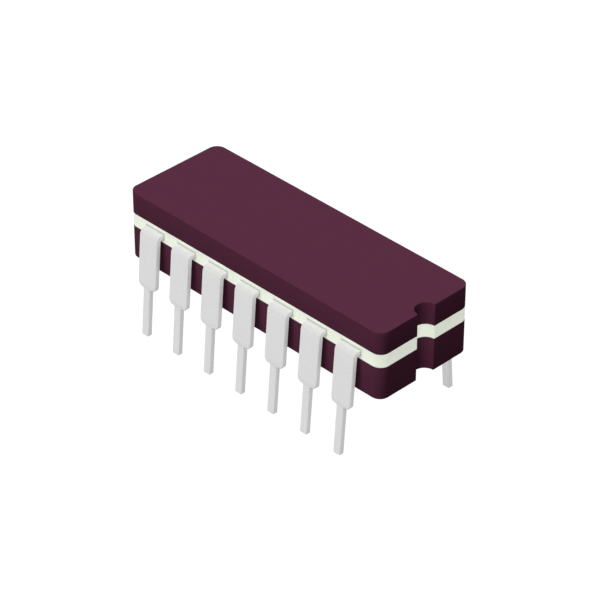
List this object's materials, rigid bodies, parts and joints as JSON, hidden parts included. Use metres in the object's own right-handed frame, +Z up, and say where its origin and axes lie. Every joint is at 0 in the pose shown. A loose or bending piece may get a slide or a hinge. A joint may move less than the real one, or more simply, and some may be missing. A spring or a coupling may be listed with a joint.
{
  "type": "ceramic dual in-line integrated circuit",
  "caption": "Ceramic dual in-line integrated circuit: purple-brown lid and base sealed with pale glass, two rows of flat stepped leads bent down, and a half-round notch at one end.",
  "frame": {"origin": "on the plane of the lead tips, under the centre of the body", "axes": "+X along the lead rows towards the notched end, +Y towards the row that starts with lead 1, +Z up through the lid"},
  "size_m": [0.0196, 0.0088, 0.0084],
  "materials": {
    "ceramic": "matte",
    "seal_glass": "satin",
    "lead_plating": "satin",
    "gold": "satin",
    "silicon": "polished",
    "bond_wire": "satin"
  },
  "bodies": {
    "root": {"ceramic_base": "ceramic", "ceramic_lid": "ceramic", "glass_seal": "seal_glass", "die_attach": "gold", "silicon_die": "silicon", "lead_01": "lead_plating", "lead_02": "lead_plating", "lead_03": "lead_plating", "lead_04": "lead_plating", "lead_05": "lead_plating", "lead_06": "lead_plating", "lead_07": "lead_plating", "lead_08": "lead_plating", "lead_09": "lead_plating", "lead_10": "lead_plating", "lead_11": "lead_plating", "lead_12": "lead_plating", "lead_13": "lead_plating", "lead_14": "lead_plating", "bond_wire_01": "bond_wire", "bond_wire_02": "bond_wire", "bond_wire_03": "bond_wire", "bond_wire_04": "bond_wire", "bond_wire_05": "bond_wire", "bond_wire_06": "bond_wire", "bond_wire_07": "bond_wire", "bond_wire_08": "bond_wire", "bond_wire_09": "bond_wire", "bond_wire_10": "bond_wire", "bond_wire_11": "bond_wire", "bond_wire_12": "bond_wire", "bond_wire_13": "bond_wire", "bond_wire_14": "bond_wire"}
  },
  "joints": []
}
